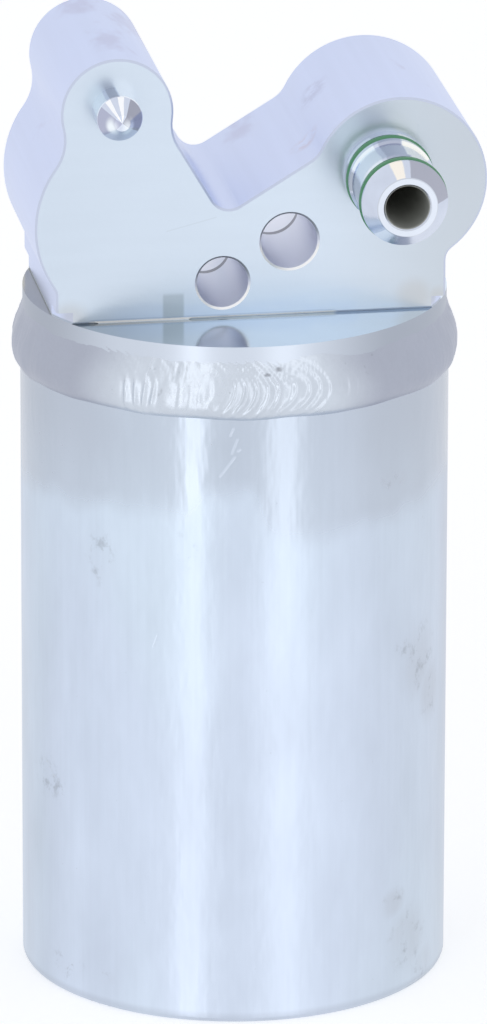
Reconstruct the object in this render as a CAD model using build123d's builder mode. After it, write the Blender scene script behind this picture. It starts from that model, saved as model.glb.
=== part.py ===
from build123d import *
import os
from math import cos, hypot, radians, sin, sqrt

# A welded aluminium receiver drier. Millimetres, +Z up along the can, origin at
# the centre of the can's flat bottom. -Y is the face with the inlet spigot and
# the locating pin, +Y the face with the outlet spigot.

# ---- driving dimensions -------------------------------------------------------
# Can: one deep-drawn cup.
can_radius = 35.0
can_wall = 2.0
can_floor = 3.0
can_height = 107.5
can_edge_round = 1.2
can_inner_round = 3.0

# Weld round the joint of can and head.
bead_toe_drop = 3.5            # below the rim, where the bead and the bevel run out
bead_crown_drop = 1.5          # below the rim, where the bead's crown starts
bead_crown_rise = 1.9          # above the rim, where the crown ends
bead_proud = 1.35              # past the can's wall at the crown
bead_top_rise = 5.3            # above the rim, where the bead ends on the flange
groove_depth = 1.6             # of the bevels on the can's rim and on the flange

# Head: an extruded two-lobed block, turned below into a flange and a plug.
head_depth = 36.9
flange_thickness = 8.5
flange_inset = 0.4             # of the flange's wall from the can's
plug_length = 7.0
plug_clearance = 0.1
corner_relief = 2.0            # turned out under the block's corners
edge_break = 0.35
foot_left = -32.0
foot_right = 31.6

# Outline of the block, measured from the centre of the deck (the flange's top).
pin_lobe_x = -22.0
pin_lobe_rise = 35.0
pin_lobe_radius = 9.1
belly_x = -17.8
belly_rise = 16.0
belly_radius = 17.6
port_lobe_x = 24.0
port_lobe_rise = 21.4
port_lobe_radius = 14.3
valley_floor_x = -4.9
valley_floor_rise = 17.0
valley_left_bearing = -21.4    # where the valley's flanks meet the lobes, in degrees
valley_right_bearing = 159.4
valley_round = 3.2
lobe_neck_round = 8.0
flank_round = 7.0
shoulder_round = 5.0
foot_round = 2.5

# Bolt holes through the block, stepped wider from the rear.
bolt_low_x = -4.9
bolt_low_rise = 5.9
bolt_low_radius = 4.2
bolt_high_x = 6.0
bolt_high_rise = 12.4
bolt_high_radius = 4.6
bolt_step = 1.0
bolt_step_depth = 16.9

# Ports and spigots.
inlet_port_x = 21.8
inlet_port_rise = 23.2
outlet_port_x = -17.8
outlet_port_rise = 16.0
port_bore_radius = 3.5
socket_radius = 6.0
socket_depth = 10.0
spigot_length = 19.5
spigot_radius = 7.0
spigot_waist_radius = 6.6
spigot_tip_radius = 4.8
spigot_nose_length = 2.7
spigot_bore_break = 0.4
o_ring_section = 1.8
o_ring_proud = 0.2
groove_play = 0.2
inner_groove_at = 3.0          # middle of each groove, from the block's face
outer_groove_at = 15.2
groove_land = 1.2

# Locating pin.
pin_x = -22.4
pin_rise = 35.8
pin_radius = 3.7
pin_straight = 5.0
pin_nose = 3.0
pin_tip_radius = 1.3
pin_shank_radius = 3.0         # pressed into the block
pin_depth = 9.0

# Pickup tube, its seal and its strainer.
tube_radius = 4.0
tube_wall = 0.8
tube_insertion = 10.0
tube_floor_gap = 4.0
fit_clearance = 0.05
tube_seal_section = 1.8
strainer_wall = 0.6
strainer_length = 8.0
strainer_play = 1.5            # between the strainer's wall and the tube
strainer_slots = 6
strainer_slot_radius = 1.1

# Filter stack inside the can.
stack_clearance = 0.15
plate_thickness = 1.0
lower_skirt = 13.0
upper_rim = 5.0
pad_thickness = 5.0
desiccant_height = 50.0
tube_hole_clearance = 0.3
perforation_radius = 3.0
perforation_pitch = 13.0
perforation_margin = 4.0

# Spring between the stack and the head.
spring_wire = 2.0
spring_rim_clearance = 2.85     # inside the upper plate's rim
spring_turns = 2
spring_seat_depth = 1.2
spring_seat_play = 0.5

# ---- levels and planes --------------------------------------------------------
can_bore_radius = can_radius - can_wall
deck_z = can_height + flange_thickness
plug_z = can_height - plug_length
root_radius = can_radius - groove_depth
flange_radius = can_radius - flange_inset
bead_top_z = can_height + bead_top_rise
stack_radius = can_bore_radius - stack_clearance
spring_radius = stack_radius - plate_thickness - spring_rim_clearance - spring_wire / 2
tube_x = outlet_port_x

lower_plate_z = can_floor + lower_skirt
lower_pad_z = lower_plate_z
desiccant_z = lower_pad_z + pad_thickness
upper_pad_z = desiccant_z + desiccant_height
upper_plate_z = upper_pad_z + pad_thickness

# Spots of the block's outline, across and up from the centre of the deck.
pin_lobe = (pin_lobe_x, pin_lobe_rise)
belly = (belly_x, belly_rise)
port_lobe = (port_lobe_x, port_lobe_rise)
valley_floor = (valley_floor_x, valley_floor_rise)
bolt_low = (bolt_low_x, bolt_low_rise)
bolt_high = (bolt_high_x, bolt_high_rise)
inlet_port = (inlet_port_x, inlet_port_rise)
outlet_port = (outlet_port_x, outlet_port_rise)
pin_at = (pin_x, pin_rise)

centre_plane = Plane(origin=(0, 0, deck_z), x_dir=(1, 0, 0), z_dir=(0, -1, 0))
front_face = centre_plane.offset(head_depth / 2)
rear_face = Plane(origin=(0, head_depth / 2, deck_z), x_dir=(-1, 0, 0), z_dir=(0, 1, 0))


def on_front(spot):
    """Plane on the front face at a spot of the block's outline."""
    return Plane(front_face * Pos(spot[0], spot[1]))


def on_rear(spot):
    """Plane on the rear face, whose own X runs the other way."""
    return Plane(rear_face * Pos(-spot[0], spot[1]))


def rim_point(centre, radius, bearing):
    """Point on a lobe's circle at a bearing in degrees."""
    return (centre[0] + radius * cos(radians(bearing)), centre[1] + radius * sin(radians(bearing)))


# ---- can ----------------------------------------------------------------------
with BuildPart() as can:
    with BuildSketch(Plane.XZ) as can_wall_section:
        with BuildLine():
            Polyline(
                (0, 0),
                (can_radius, 0),
                (can_radius, can_height - bead_toe_drop),
                (root_radius, can_height),
                (can_bore_radius, can_height),
                (can_bore_radius, can_floor),
                (0, can_floor),
                close=True,
            )
        make_face()
        for corner, radius in (
            ((can_radius, 0), can_edge_round),
            ((can_bore_radius, can_floor), can_inner_round),
        ):
            fillet(can_wall_section.vertices().sort_by_distance(corner)[0], radius)
    revolve(axis=Axis.Z)

# ---- head ---------------------------------------------------------------------
left_rim = rim_point(pin_lobe, pin_lobe_radius, valley_left_bearing)
right_rim = rim_point(port_lobe, port_lobe_radius, valley_right_bearing)
neck = (pin_lobe[0] - pin_lobe_radius, (pin_lobe[1] + belly[1]) / 2)
left_corner = (foot_left, belly[1] - sqrt(belly_radius**2 - (foot_left - belly[0]) ** 2))
right_corner = (foot_right, port_lobe[1] - sqrt(port_lobe_radius**2 - (foot_right - port_lobe[0]) ** 2))
outline_blends = (
    (neck, lobe_neck_round),
    (left_rim, flank_round),
    (valley_floor, valley_round),
    (right_rim, shoulder_round),
    (left_corner, foot_round),
    (right_corner, foot_round),
)

with BuildPart() as head:
    with BuildSketch(centre_plane) as outline:
        with BuildLine():
            Polyline(
                (foot_left, 0),
                (foot_right, 0),
                (foot_right, port_lobe[1]),
                port_lobe,
                right_rim,
                valley_floor,
                left_rim,
                pin_lobe,
                (foot_left, belly[1]),
                close=True,
            )
        make_face()
        with Locations(belly):
            Circle(belly_radius)
        valley_top = pin_lobe[1] + pin_lobe_radius
        with BuildLine():
            Polyline(
                valley_floor,
                right_rim,
                (right_rim[0], valley_top),
                (left_rim[0], valley_top),
                left_rim,
                close=True,
            )
        make_face(mode=Mode.SUBTRACT)
        for spot, radius in ((pin_lobe, pin_lobe_radius), (port_lobe, port_lobe_radius)):
            with Locations(spot):
                Circle(radius)
        for spot, radius in outline_blends:
            fillet(outline.vertices().sort_by_distance(spot)[0], radius)
    extrude(amount=head_depth / 2, both=True)
    faces_across = head.faces().filter_by(Axis.Y)
    chamfer(faces_across.edges().group_by(Axis.Z)[1:], edge_break)

    # Turned below: the corners are relieved down to the flange, and the plug
    # that centres the head in the can hangs under it.
    with BuildSketch(Plane.XZ) as corner_section:
        with BuildLine():
            Polyline(
                (flange_radius, can_height),
                (flange_radius, deck_z + corner_relief),
                (2 * can_radius, deck_z + corner_relief),
                (2 * can_radius, can_height),
                close=True,
            )
        make_face()
    revolve(axis=Axis.Z, mode=Mode.SUBTRACT)
    with BuildSketch(Plane.XZ) as flange_section:
        with BuildLine():
            Polyline(
                (0, plug_z),
                (can_bore_radius - plug_clearance, plug_z),
                (can_bore_radius - plug_clearance, can_height),
                (root_radius, can_height),
                (flange_radius, bead_top_z),
                (flange_radius, deck_z),
                (0, deck_z),
                close=True,
            )
        make_face()
    revolve(axis=Axis.Z)

    # Seat of the spring in the plug's underside.
    with BuildSketch(Plane.XY.offset(plug_z)):
        Circle(spring_radius + spring_wire / 2 + spring_seat_play)
        Circle(spring_radius - spring_wire / 2 - spring_seat_play, mode=Mode.SUBTRACT)
    extrude(amount=spring_seat_depth, mode=Mode.SUBTRACT)

    # Bolt holes, stepped wider from the rear, with their edges broken.
    for spot, radius in ((bolt_low, bolt_low_radius), (bolt_high, bolt_high_radius)):
        with Locations(on_rear(spot)):
            CounterBoreHole(radius, radius + bolt_step, bolt_step_depth)
        for face, rim_radius in ((on_front(spot), radius), (on_rear(spot), radius + bolt_step)):
            with BuildSketch(face):
                Circle(rim_radius + edge_break)
            extrude(amount=-edge_break, taper=45, mode=Mode.SUBTRACT)

    # Ports: a socket for each spigot, a drilling in from the face and one up
    # from the plug. The outlet's holds the pickup tube and its seal.
    for face, spot in ((on_front, inlet_port), (on_rear, outlet_port)):
        with Locations(face(spot)):
            CounterBoreHole(
                port_bore_radius,
                socket_radius,
                socket_depth,
                depth=head_depth / 2 + port_bore_radius,
            )
        with BuildSketch(Plane.XY.offset(plug_z)):
            with Locations((spot[0], 0)):
                Circle(port_bore_radius)
        extrude(amount=deck_z + spot[1] - plug_z, mode=Mode.SUBTRACT)
    with BuildSketch(Plane.XY.offset(plug_z)):
        with Locations((tube_x, 0)):
            Circle(tube_radius + fit_clearance)
    extrude(amount=tube_insertion, mode=Mode.SUBTRACT)
    with BuildSketch(Plane.XY.offset(plug_z)):
        with Locations((tube_x, 0)):
            Circle(tube_radius + tube_seal_section)
    extrude(amount=tube_seal_section, mode=Mode.SUBTRACT)

    # Hole of the locating pin.
    with Locations(on_front(pin_at)):
        Hole(pin_shank_radius, depth=pin_depth)

# ---- weld bead ------------------------------------------------------------------
bead_toe = (can_radius, can_height - bead_toe_drop)
bead_top = (flange_radius, bead_top_z)
crown_radius = can_radius + bead_proud
with BuildPart() as weld_bead:
    with BuildSketch(Plane.XZ):
        with BuildLine():
            Polyline(
                bead_top,
                (root_radius, can_height),
                bead_toe,
            )
            Spline(
                bead_toe,
                (crown_radius, can_height - bead_crown_drop),
                (crown_radius, can_height + bead_crown_rise),
                bead_top,
            )
        make_face()
    revolve(axis=Axis.Z)


# ---- spigots and their seals ----------------------------------------------------
def spigot_on(plane):
    """Turned spigot: shank in the socket, two seal grooves, a waist and a coned nose."""
    groove_half = (o_ring_section + groove_play) / 2
    groove_radius = spigot_radius + o_ring_proud - o_ring_section
    waist_start = inner_groove_at + groove_half + groove_land
    waist_end = outer_groove_at - groove_half - groove_land
    with BuildPart() as spigot:
        with BuildSketch(Plane.XZ):
            with BuildLine():
                Polyline(
                    (port_bore_radius, -socket_depth),
                    (socket_radius, -socket_depth),
                    (socket_radius, 0),
                    (spigot_radius, 0),
                    (spigot_radius, inner_groove_at - groove_half),
                    (groove_radius, inner_groove_at - groove_half),
                    (groove_radius, inner_groove_at + groove_half),
                    (spigot_radius, inner_groove_at + groove_half),
                    (spigot_radius, waist_start),
                    (spigot_waist_radius, waist_start + spigot_radius - spigot_waist_radius),
                    (spigot_waist_radius, waist_end - spigot_radius + spigot_waist_radius),
                    (spigot_radius, waist_end),
                    (spigot_radius, outer_groove_at - groove_half),
                    (groove_radius, outer_groove_at - groove_half),
                    (groove_radius, outer_groove_at + groove_half),
                    (spigot_radius, outer_groove_at + groove_half),
                    (spigot_radius, spigot_length - spigot_nose_length),
                    (spigot_tip_radius, spigot_length),
                    (port_bore_radius + spigot_bore_break, spigot_length),
                    (port_bore_radius, spigot_length - spigot_bore_break),
                    close=True,
                )
            make_face()
        revolve(axis=Axis.Z)
    return spigot.part.moved(plane.location)


def o_ring_on(plane, along):
    """Seal ring standing a little proud of the spigot's lands."""
    with BuildPart() as o_ring:
        with Locations((0, 0, along)):
            Torus(spigot_radius + o_ring_proud - o_ring_section / 2, o_ring_section / 2)
    return o_ring.part.moved(plane.location)


port_pieces = {}
for port_name, port_plane in (("inlet", on_front(inlet_port)), ("outlet", on_rear(outlet_port))):
    port_pieces[f"{port_name}_spigot"] = spigot_on(port_plane)
    port_pieces[f"{port_name}_o_ring_inner"] = o_ring_on(port_plane, inner_groove_at)
    port_pieces[f"{port_name}_o_ring_outer"] = o_ring_on(port_plane, outer_groove_at)

# ---- locating pin ---------------------------------------------------------------
pin_plane = on_front(pin_at)
with BuildPart() as locating_pin:
    with BuildSketch(pin_plane.offset(-pin_depth)):
        Circle(pin_shank_radius)
    extrude(amount=pin_depth)
    with BuildSketch(pin_plane):
        Circle(pin_radius)
    extrude(amount=pin_straight)
    with BuildSketch(pin_plane.offset(pin_straight)):
        Circle(pin_radius)
    with BuildSketch(pin_plane.offset(pin_straight + pin_nose)):
        Circle(pin_tip_radius)
    loft()

# ---- pickup tube, seal and strainer ---------------------------------------------
tube_axis = Plane(origin=(tube_x, 0, can_floor))
with BuildPart() as pickup_tube:
    with BuildSketch(tube_axis.offset(tube_floor_gap)):
        Circle(tube_radius)
        Circle(tube_radius - tube_wall, mode=Mode.SUBTRACT)
    extrude(amount=plug_z + tube_insertion - can_floor - tube_floor_gap)

with BuildPart() as tube_o_ring:
    with Locations((tube_x, 0, plug_z + tube_seal_section / 2)):
        Torus(tube_radius + tube_seal_section / 2, tube_seal_section / 2)

strainer_radius = tube_radius + strainer_play + strainer_wall
strainer_turn = 360 / strainer_slots
with BuildPart() as strainer:
    with BuildSketch(tube_axis):
        Circle(strainer_radius)
    extrude(amount=strainer_length)
    with BuildSketch(tube_axis.offset(strainer_wall)):
        Circle(strainer_radius - strainer_wall)
    extrude(amount=strainer_length - 2 * strainer_wall, mode=Mode.SUBTRACT)
    with BuildSketch(tube_axis.offset(tube_floor_gap)):
        Circle(tube_radius + fit_clearance)
    extrude(amount=strainer_length, mode=Mode.SUBTRACT)
    for slot in range(strainer_slots):
        bearing = radians(slot * strainer_turn)
        slot_plane = Plane(
            origin=(tube_x, 0, can_floor + tube_floor_gap / 2),
            z_dir=(cos(bearing), sin(bearing), 0),
        )
        with BuildSketch(slot_plane):
            Circle(strainer_slot_radius)
        extrude(amount=strainer_radius + strainer_wall, mode=Mode.SUBTRACT)

# ---- filter stack ---------------------------------------------------------------
tube_hole_radius = tube_radius + tube_hole_clearance
pitches = int(stack_radius // perforation_pitch) + 1
perforations = [
    (column * perforation_pitch, row * perforation_pitch)
    for column in range(-pitches, pitches + 1)
    for row in range(-pitches, pitches + 1)
    if hypot(column, row) * perforation_pitch < stack_radius - perforation_radius - perforation_margin
    and hypot(column * perforation_pitch - tube_x, row * perforation_pitch)
    > tube_hole_radius + perforation_radius + perforation_margin / 2
]


def plate_between(foot, top, face, rim_radius):
    """Perforated plate whose underside is at face, with a rim from foot to top."""
    with BuildPart() as plate:
        with BuildSketch(Plane.XY.offset(foot)):
            Circle(rim_radius)
            Circle(rim_radius - plate_thickness, mode=Mode.SUBTRACT)
        extrude(amount=top - foot)
        with BuildSketch(Plane.XY.offset(face)):
            Circle(stack_radius)
            with Locations((tube_x, 0)):
                Circle(tube_hole_radius, mode=Mode.SUBTRACT)
            with Locations(perforations):
                Circle(perforation_radius, mode=Mode.SUBTRACT)
        extrude(amount=plate_thickness)
    return plate.part


def bed_at(level, height):
    """Round bed that fills the can's bore and lets the pickup tube through."""
    with BuildPart() as bed:
        with BuildSketch(Plane.XY.offset(level)):
            Circle(stack_radius)
            with Locations((tube_x, 0)):
                Circle(tube_hole_radius, mode=Mode.SUBTRACT)
        extrude(amount=height)
    return bed.part


stack_pieces = {
    "lower_plate": plate_between(
        can_floor, lower_plate_z, lower_plate_z - plate_thickness, can_bore_radius - can_inner_round
    ),
    "lower_filter_pad": bed_at(lower_pad_z, pad_thickness),
    "desiccant": bed_at(desiccant_z, desiccant_height),
    "upper_filter_pad": bed_at(upper_pad_z, pad_thickness),
    "upper_plate": plate_between(
        upper_plate_z, upper_plate_z + upper_rim, upper_plate_z, stack_radius
    ),
}

# ---- spring ---------------------------------------------------------------------
spring_foot_z = upper_plate_z + plate_thickness + spring_wire / 2
spring_head_z = plug_z + spring_seat_depth - spring_wire / 2
spring_height = spring_head_z - spring_foot_z
half_rise = spring_height / (2 * spring_turns)
with BuildPart() as spring:
    with BuildLine(Plane.XY.offset(spring_foot_z)) as coil:
        for half in range(2 * spring_turns):
            side = 1 if half % 2 == 0 else -1
            ThreePointArc(
                (side * spring_radius, 0, half * half_rise),
                (0, side * hypot(spring_radius, half_rise / 2), (half + 0.5) * half_rise),
                (-side * spring_radius, 0, (half + 1) * half_rise),
            )
    with BuildSketch(Plane(origin=coil.line @ 0, z_dir=coil.line % 0)):
        Circle(spring_wire / 2)
    sweep()

# ---- write each piece -----------------------------------------------------------
pieces = {
    "can": can.part,
    "head": head.part,
    "weld_bead": weld_bead.part,
    **port_pieces,
    "locating_pin": locating_pin.part,
    "pickup_tube": pickup_tube.part,
    "tube_o_ring": tube_o_ring.part,
    "strainer": strainer.part,
    **stack_pieces,
    "spring": spring.part,
}
os.makedirs("parts", exist_ok=True)
for label, piece in pieces.items():
    piece.label = label
    export_step(piece, f"parts/{label}.step")
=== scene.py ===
import math

import bmesh
import bpy
from bpy.props import FloatProperty, FloatVectorProperty, IntProperty, PointerProperty
from mathutils import Matrix, Vector, noise


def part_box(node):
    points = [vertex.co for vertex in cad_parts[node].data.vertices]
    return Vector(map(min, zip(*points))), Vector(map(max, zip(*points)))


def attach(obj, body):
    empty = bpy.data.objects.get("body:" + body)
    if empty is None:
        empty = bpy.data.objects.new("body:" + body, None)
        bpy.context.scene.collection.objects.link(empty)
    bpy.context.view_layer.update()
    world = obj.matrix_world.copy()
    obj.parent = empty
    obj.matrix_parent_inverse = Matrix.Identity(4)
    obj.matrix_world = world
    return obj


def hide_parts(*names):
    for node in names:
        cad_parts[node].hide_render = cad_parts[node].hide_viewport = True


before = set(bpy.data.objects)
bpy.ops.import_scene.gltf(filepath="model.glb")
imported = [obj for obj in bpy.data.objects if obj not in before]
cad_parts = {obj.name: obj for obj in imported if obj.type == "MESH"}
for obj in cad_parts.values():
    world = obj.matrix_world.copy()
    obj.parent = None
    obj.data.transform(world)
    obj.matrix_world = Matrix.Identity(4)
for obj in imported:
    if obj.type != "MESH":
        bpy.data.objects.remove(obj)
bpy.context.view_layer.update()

bl_info = {
    "name": "Receiver drier",
    "version": (1, 0, 0),
    "blender": (4, 5, 0),
    "location": "3D View > Sidebar > Drier",
    "description": "Finishes, weld and studio for a welded aluminium receiver drier",
    "category": "Object",
}

MM = 0.001
WHITE = (1.0, 1.0, 1.0)

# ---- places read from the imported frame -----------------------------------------
CAN_LOW, CAN_HIGH = (Vector(corner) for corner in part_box("can"))
BEAD_LOW, BEAD_HIGH = (Vector(corner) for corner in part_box("weld_bead"))
CAN_RADIUS = (CAN_HIGH.x - CAN_LOW.x) / 2
RIM_Z = CAN_HIGH.z
BEAD_RADIUS = (BEAD_HIGH.x - BEAD_LOW.x) / 2

# ---- places on the head ----------------------------------------------------------
# The turned flange under the block is a little narrower than the can.
FLANGE_INSET = 0.4 * MM
FLANGE_THICKNESS = 8.5 * MM
BLOCK_DEPTH = 36.9 * MM
FLANGE_RADIUS = CAN_RADIUS - FLANGE_INSET
DECK_Z = RIM_Z + FLANGE_THICKNESS
FACE_Y = BLOCK_DEPTH / 2
# Axes that run through the block's face, in mm: across it, and above the deck.
INLET_AXIS = (21.8, 23.2)
OUTLET_AXIS = (-17.8, 16.0)
PIN_AXIS = (-22.4, 35.8)
# Bolt holes: their axes as above, and their radius.
BOLT_HOLES = ((-4.9, 5.9, 4.2), (6.0, 12.4, 4.6))


def mm(*lengths):
    """Lengths in mm, turned into metres."""
    return tuple(length * MM for length in lengths)


# ---- shader arithmetic -----------------------------------------------------------
def plug(tree, slot, value):
    """Gives a socket a number, a vector, a colour or a link."""
    if isinstance(value, Value):
        tree.links.new(value.socket, slot)
    elif slot.type == "RGBA":
        slot.default_value = (*value, 1.0)
    else:
        slot.default_value = value


def add_node(tree, kind, settings=None, out=0, **sockets):
    """Adds a node: its settings first, then its sockets; gives an output, if any.

    A socket is named as in the editor, or by its place: s0, s1 and so on.
    """
    node = tree.nodes.new(kind)
    for key, setting in (settings or {}).items():
        setattr(node, key, setting)
    for key, value in sockets.items():
        slot = int(key[1:]) if key[1:].isdigit() else key.replace("_", " ")
        plug(tree, node.inputs[slot], value)
    return Value(tree, node.outputs[out]) if node.outputs else None


def numbered(operands):
    """Operands keyed by the sockets they go to, in order."""
    return {f"s{place}": operand for place, operand in enumerate(operands)}


class Value:
    """A shader socket that takes part in arithmetic."""

    def __init__(self, tree, socket):
        self.tree = tree
        self.socket = socket

    def math(self, operation, *operands):
        """Adds a Math node to the operands, of which this value is one."""
        settings = {"operation": operation}
        return add_node(self.tree, "ShaderNodeMath", settings, **numbered(operands))

    def __add__(self, other):
        return self.math("ADD", self, other)

    def __radd__(self, other):
        return self.math("ADD", other, self)

    def __sub__(self, other):
        return self.math("SUBTRACT", self, other)

    def __rsub__(self, other):
        return self.math("SUBTRACT", other, self)

    def __mul__(self, other):
        return self.math("MULTIPLY", self, other)

    def __rmul__(self, other):
        return self.math("MULTIPLY", other, self)

    def __pow__(self, other):
        return self.math("POWER", self, other)

    def size(self):
        return self.math("ABSOLUTE", self)

    def wave(self):
        return self.math("SINE", self)

    def most(self, other):
        return self.math("MAXIMUM", self, other)

    def least(self, other):
        return self.math("MINIMUM", self, other)

    def rise(self, low, high):
        """Smooth step from 0 at low to 1 at high."""
        return add_node(
            self.tree, "ShaderNodeMapRange", {"interpolation_type": "SMOOTHSTEP"},
            Value=self, From_Min=low, From_Max=high,
        )

    def within(self, low, high, soft):
        """1 from low to high, and 0 beyond a soft edge."""
        return self.rise(low - soft, low) * (1.0 - self.rise(high, high + soft))


class Finish:
    """A material under construction: its shader and its object coordinates."""

    # A spot or a scratch is at full strength up to this share of its reach.
    CORE = 0.3

    def __init__(self, name):
        self.material = bpy.data.materials.new(name)
        self.material.use_nodes = True
        self.tree = self.material.node_tree
        self.tree.nodes.clear()
        surface = self.add("ShaderNodeBsdfPrincipled")
        self.shader = surface.socket.node
        self.add("ShaderNodeOutputMaterial", Surface=surface)
        self.place = self.add("ShaderNodeTexCoord", out="Object")
        self.x, self.y, self.z = self.split(self.place)

    def add(self, kind, settings=None, out=0, **sockets):
        """Adds a node to this material and gives one of its outputs."""
        return add_node(self.tree, kind, settings, out, **sockets)

    def vector(self, operation, *operands, **sockets):
        """Adds a Vector Math node to the operands."""
        number = operation in ("LENGTH", "DOT_PRODUCT", "DISTANCE")
        return self.add(
            "ShaderNodeVectorMath", {"operation": operation},
            out="Value" if number else "Vector", **numbered(operands), **sockets,
        )

    def split(self, vector):
        """The parts of a vector along X, Y and Z."""
        parts = self.add("ShaderNodeSeparateXYZ", Vector=vector).socket.node.outputs
        return [Value(self.tree, part) for part in parts]

    def grain(
        self, scale, stretch=(1, 1, 1), detail=2.0, roughness=0.5,
        turn=(0, 0, 0), shift=(0, 0, 0),
    ):
        """Noise of so many features per metre, about 0.5 at its middle."""
        place = self.add(
            "ShaderNodeMapping",
            Vector=self.place, Scale=stretch, Rotation=turn, Location=shift,
        )
        return self.add(
            "ShaderNodeTexNoise",
            Vector=place, Scale=scale, Detail=detail, Roughness=roughness,
        )

    def blend(self, first, second, factor, mode="MIX"):
        """Mixes a second colour over the first, by a factor from 0 to 1."""
        settings = {"data_type": "RGBA", "blend_type": mode}
        return self.add(
            "ShaderNodeMix", settings, out=2, s0=factor, s6=first, s7=second
        )

    def shade(self, color, light):
        """Multiplies a colour by a grey value."""
        return self.vector("SCALE", color, Scale=light)

    def near(self, spot, reach, stretch=(1, 1, 1)):
        """1 at a spot and 0 beyond its reach, in metres, stretched along the axes."""
        offset = self.vector("SUBTRACT", self.place, tuple(spot))
        away = self.vector("LENGTH", self.vector("MULTIPLY", offset, stretch))
        return 1.0 - away.rise(reach * self.CORE, reach)

    def scrape(self, start, end, width):
        """1 on a thin straight scratch between two points."""
        start, end = Vector(start), Vector(end)
        along = tuple((end - start).normalized())
        offset = self.vector("SUBTRACT", self.place, tuple(start))
        run = self.vector("DOT_PRODUCT", offset, along)
        run = run.most(0.0).least((end - start).length)
        foot = self.vector("SCALE", along, Scale=run)
        gap = self.vector("DISTANCE", offset, foot)
        return 1.0 - gap.rise(width * self.CORE, width)

    def about(self, across, level):
        """Bearing about an axis along Y, in degrees from up to +X, and distance."""
        aside, above = self.x - across, self.z - level
        bearing = aside.math("ARCTAN2", aside, above) * math.degrees(1.0)
        return bearing, (aside**2 + above**2) ** 0.5

    def relief(self, height, distance):
        """Bump of a height that is as deep as the distance where it is 1."""
        return self.add("ShaderNodeBump", Height=height, Distance=distance)

    def set(self, **sockets):
        """Gives the shader its sockets; hands over the finished material."""
        for key, value in sockets.items():
            plug(self.tree, self.shader.inputs[key.replace("_", " ")], value)
        return self.material


def dress(node, material):
    """Gives a carried-over node its material."""
    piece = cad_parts[node]
    piece.data.materials.clear()
    piece.data.materials.append(material)


def new_object(name, bm):
    """Turns a bmesh into an object of the scene."""
    mesh = bpy.data.meshes.new(name)
    bm.to_mesh(mesh)
    bm.free()
    piece = bpy.data.objects.new(name, mesh)
    bpy.context.scene.collection.objects.link(piece)
    return piece


def on_can(bearing, z):
    """Point of the can's wall: bearing in degrees from the front towards +X, and mm."""
    angle = math.radians(bearing)
    return Vector((CAN_RADIUS * math.sin(angle), -CAN_RADIUS * math.cos(angle), z * MM))


# ---- settings --------------------------------------------------------------------
def tint(name, description, default):
    """A colour setting."""
    return FloatVectorProperty(
        name=name, description=description, default=default,
        size=3, subtype="COLOR", min=0.0, max=1.0,
    )


class CanSettings(bpy.types.PropertyGroup):
    metal: tint("Metal", "Colour of the drawn aluminium", (0.65, 0.74, 0.84))
    heated: tint(
        "Heated metal", "Colour of the dulled band under the weld", (0.49, 0.53, 0.605)
    )
    dirt: tint("Dirt", "Colour of the handling marks", (0.33, 0.35, 0.37))
    band_z: FloatProperty(
        name="Band height", description="Height of the dull band's lower edge",
        default=0.0875, unit="LENGTH",
    )
    roughness: FloatProperty(
        name="Roughness", description="Roughness of the wall",
        default=0.34, min=0.0, max=1.0, subtype="FACTOR",
    )


class HeadSettings(bpy.types.PropertyGroup):
    milled: tint("Milled faces", "Colour of the milled faces", (0.605, 0.68, 0.765))
    skin: tint("Extruded skin", "Colour of the extruded sides", (0.635, 0.695, 0.885))
    turned: tint(
        "Turned deck", "Colour of the turned deck and flange", (0.78, 0.87, 0.95)
    )


class WeldSettings(bpy.types.PropertyGroup):
    # Weld metal is painted as the bead's lit front, and dull metal as its shaded sides.
    metal: tint("Weld metal", "Colour of the bead", (0.635, 0.685, 0.75))
    dull: tint(
        "Dull metal", "Colour of the bead where it is oxidised", (0.44, 0.465, 0.54)
    )
    pitch: FloatProperty(
        name="Ripple pitch", description="Distance between two ripples",
        default=1.85 * MM, unit="LENGTH",
    )
    height: FloatProperty(
        name="Ripple height", description="Height of the strongest ripples",
        default=0.5 * MM, unit="LENGTH",
    )
    steps: IntProperty(
        name="Steps", description="Steps of the bead round the can",
        default=1200, min=90,
    )


class FittingSettings(bpy.types.PropertyGroup):
    metal: tint("Turned metal", "Colour of the spigots and the pin", (0.66, 0.71, 0.82))
    rubber: tint("Seal rubber", "Colour of the seal rings", (0.10, 0.35, 0.17))


class StudioSettings(bpy.types.PropertyGroup):
    sky: FloatProperty(
        name="Sky", description="Strength of the soft light", default=0.62, min=0.0
    )
    glow: FloatProperty(
        name="Floor glow", description="White added to the floor", default=0.47, min=0.0
    )
    left_power: FloatProperty(
        name="Left strip", description="Power of the left strip light",
        default=1.1, min=0.0, unit="POWER",
    )
    right_power: FloatProperty(
        name="Right strip", description="Power of the right strip light",
        default=0.95, min=0.0, unit="POWER",
    )


SETTINGS = {
    "drier_can": CanSettings,
    "drier_head": HeadSettings,
    "drier_weld": WeldSettings,
    "drier_fittings": FittingSettings,
    "drier_studio": StudioSettings,
}


# ---- the can's finish ------------------------------------------------------------
# Colours over the can's bare metal.
CAN_COOL = (0.62, 0.66, 0.81)
CAN_HAZE = (0.47, 0.49, 0.53)
CAN_SCRAPED = (0.85, 0.89, 0.95)
CAN_RIGHT_SIDE = (0.50, 0.53, 0.58)
CAN_LOW_EDGE = (0.42, 0.46, 0.53)
CAN_SCRAPE_WIDTH = 0.2 * MM
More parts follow.
